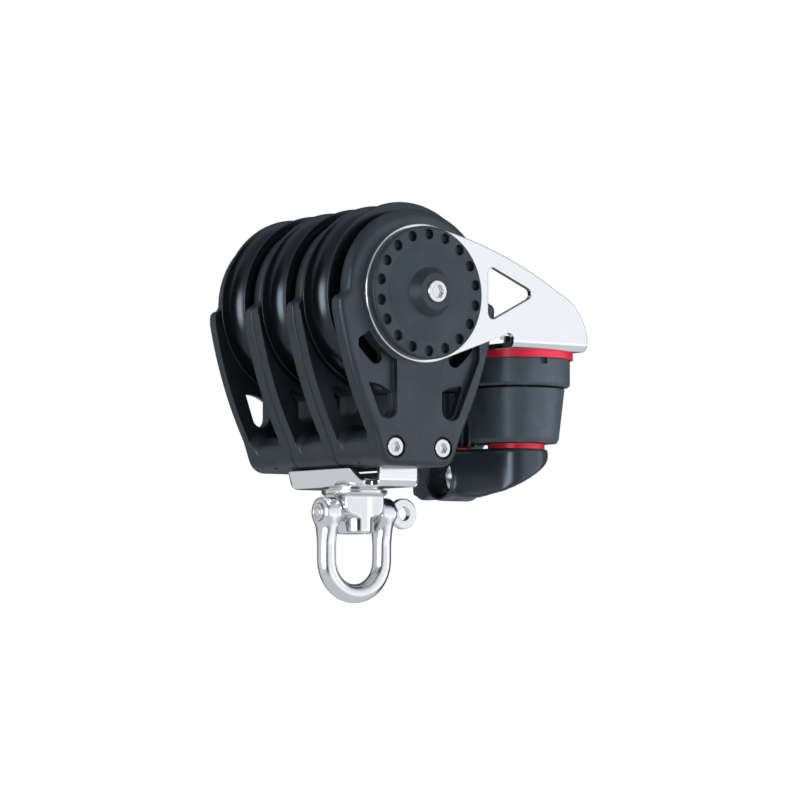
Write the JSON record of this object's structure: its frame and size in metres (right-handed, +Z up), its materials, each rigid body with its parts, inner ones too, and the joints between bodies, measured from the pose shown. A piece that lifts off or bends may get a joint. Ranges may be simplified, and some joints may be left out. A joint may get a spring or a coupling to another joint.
{
  "type": "triple block with cam cleat",
  "caption": "Rope block: sheaves side by side on one axle in moulded cheeks, a swivel shackle below and a cam cleat with a fairlead hung under a folded steel arm.",
  "frame": {"origin": "inside of the shackle bow, on the swivel axis, where the eye it is fastened to bears", "axes": "+Z up along the swivel axis, +Y along the sheave axle to the far side, +X towards the cleat"},
  "size_m": [0.1299, 0.1256, 0.1632],
  "materials": {
    "cheek_moulding": "fine moulded grain, satin black",
    "sheave_black": "smooth turned black",
    "race_black": "smooth",
    "ball_white": "smooth",
    "disc_black": "fine moulded grain",
    "bright_steel": "polished",
    "polished_sheet": "mirror polished sheet",
    "polished_forging": "polished forging",
    "spring_steel": "drawn wire",
    "bearing_white": "smooth",
    "cam_black": "satin black",
    "red_moulding": "smooth red",
    "fairlead_black": "smooth black"
  },
  "bodies": {
    "frame": {"cheek_near_outer": "cheek_moulding", "cheek_near_inner": "cheek_moulding", "cheek_middle_near": "cheek_moulding", "cheek_middle_far": "cheek_moulding", "cheek_far_inner": "cheek_moulding", "cheek_far_outer": "cheek_moulding", "inner_race_near": "race_black", "inner_race_middle": "race_black", "inner_race_far": "race_black", "side_disc_near": "disc_black", "axle_screw_near": "bright_steel", "side_disc_far": "disc_black", "axle_screw_far": "bright_steel", "axle": "bright_steel", "tie_bolts": "bright_steel", "tie_nuts": "bright_steel", "cleat_arm": "polished_sheet", "cleat_plate": "red_moulding", "cleat_base": "cam_black", "cam_posts": "bright_steel", "cam_washers": "red_moulding", "fairlead": "fairlead_black", "fairlead_liner": "bright_steel", "cleat_screws": "bright_steel", "cleat_nuts": "bright_steel", "bracket": "polished_sheet", "swivel_washer": "bearing_white"},
    "near_sheave": {"sheave_near": "sheave_black"},
    "middle_sheave": {"sheave_middle": "sheave_black"},
    "far_sheave": {"sheave_far": "sheave_black"},
    "near_ball_ring": {"balls_near": "ball_white"},
    "middle_ball_ring": {"balls_middle": "ball_white"},
    "far_ball_ring": {"balls_far": "ball_white"},
    "swivel": {"swivel_head": "polished_forging", "swivel_nut": "bright_steel"},
    "shackle": {"shackle_bow": "polished_forging", "shackle_pin": "polished_forging"},
    "near_cam": {"cam_near": "cam_black", "cam_bush_near": "bearing_white", "cam_spring_near": "spring_steel"},
    "far_cam": {"cam_far": "cam_black", "cam_bush_far": "bearing_white", "cam_spring_far": "spring_steel"}
  },
  "joints": [
    {"name": "near_sheave_spin", "type": "hinge", "parent": "frame", "child": "near_sheave", "pos_m": [-0.0023, -0.031, 0.1174], "axis": [0, 1, 0], "continuous": true},
    {"name": "near_ball_roll", "type": "hinge", "parent": "frame", "child": "near_ball_ring", "pos_m": [-0.0023, -0.031, 0.1174], "axis": [0, 1, 0], "continuous": true},
    {"name": "middle_sheave_spin", "type": "hinge", "parent": "frame", "child": "middle_sheave", "pos_m": [-0.0023, 0, 0.1174], "axis": [0, 1, 0], "continuous": true},
    {"name": "middle_ball_roll", "type": "hinge", "parent": "frame", "child": "middle_ball_ring", "pos_m": [-0.0023, 0, 0.1174], "axis": [0, 1, 0], "continuous": true},
    {"name": "far_sheave_spin", "type": "hinge", "parent": "frame", "child": "far_sheave", "pos_m": [-0.0023, 0.031, 0.1174], "axis": [0, 1, 0], "continuous": true},
    {"name": "far_ball_roll", "type": "hinge", "parent": "frame", "child": "far_ball_ring", "pos_m": [-0.0023, 0.031, 0.1174], "axis": [0, 1, 0], "continuous": true},
    {"name": "swivel_turn", "type": "hinge", "parent": "frame", "child": "swivel", "pos_m": [0, 0, 0.0394], "axis": [0, 0, 1], "continuous": true},
    {"name": "shackle_swing", "type": "hinge", "parent": "swivel", "child": "shackle", "pos_m": [0, 0, 0.0299], "axis": [1, 0, 0], "range_deg": [-95, 95]},
    {"name": "near_cam_open", "type": "hinge", "parent": "frame", "child": "near_cam", "pos_m": [0.0647, -0.026, 0.0704], "axis": [0, 0, 1], "range_deg": [-65, 0], "stiffness_Nm_per_rad": 0.08, "springref_deg": 22.92},
    {"name": "far_cam_open", "type": "hinge", "parent": "frame", "child": "far_cam", "pos_m": [0.0647, 0.026, 0.0704], "axis": [0, 0, 1], "range_deg": [0, 65], "stiffness_Nm_per_rad": 0.08, "springref_deg": -22.92}
  ],
  "couplings": [
    {"joint": "near_ball_roll", "follows": "near_sheave_spin", "ratio": 0.58},
    {"joint": "middle_ball_roll", "follows": "middle_sheave_spin", "ratio": 0.58},
    {"joint": "far_ball_roll", "follows": "far_sheave_spin", "ratio": 0.58}
  ]
}
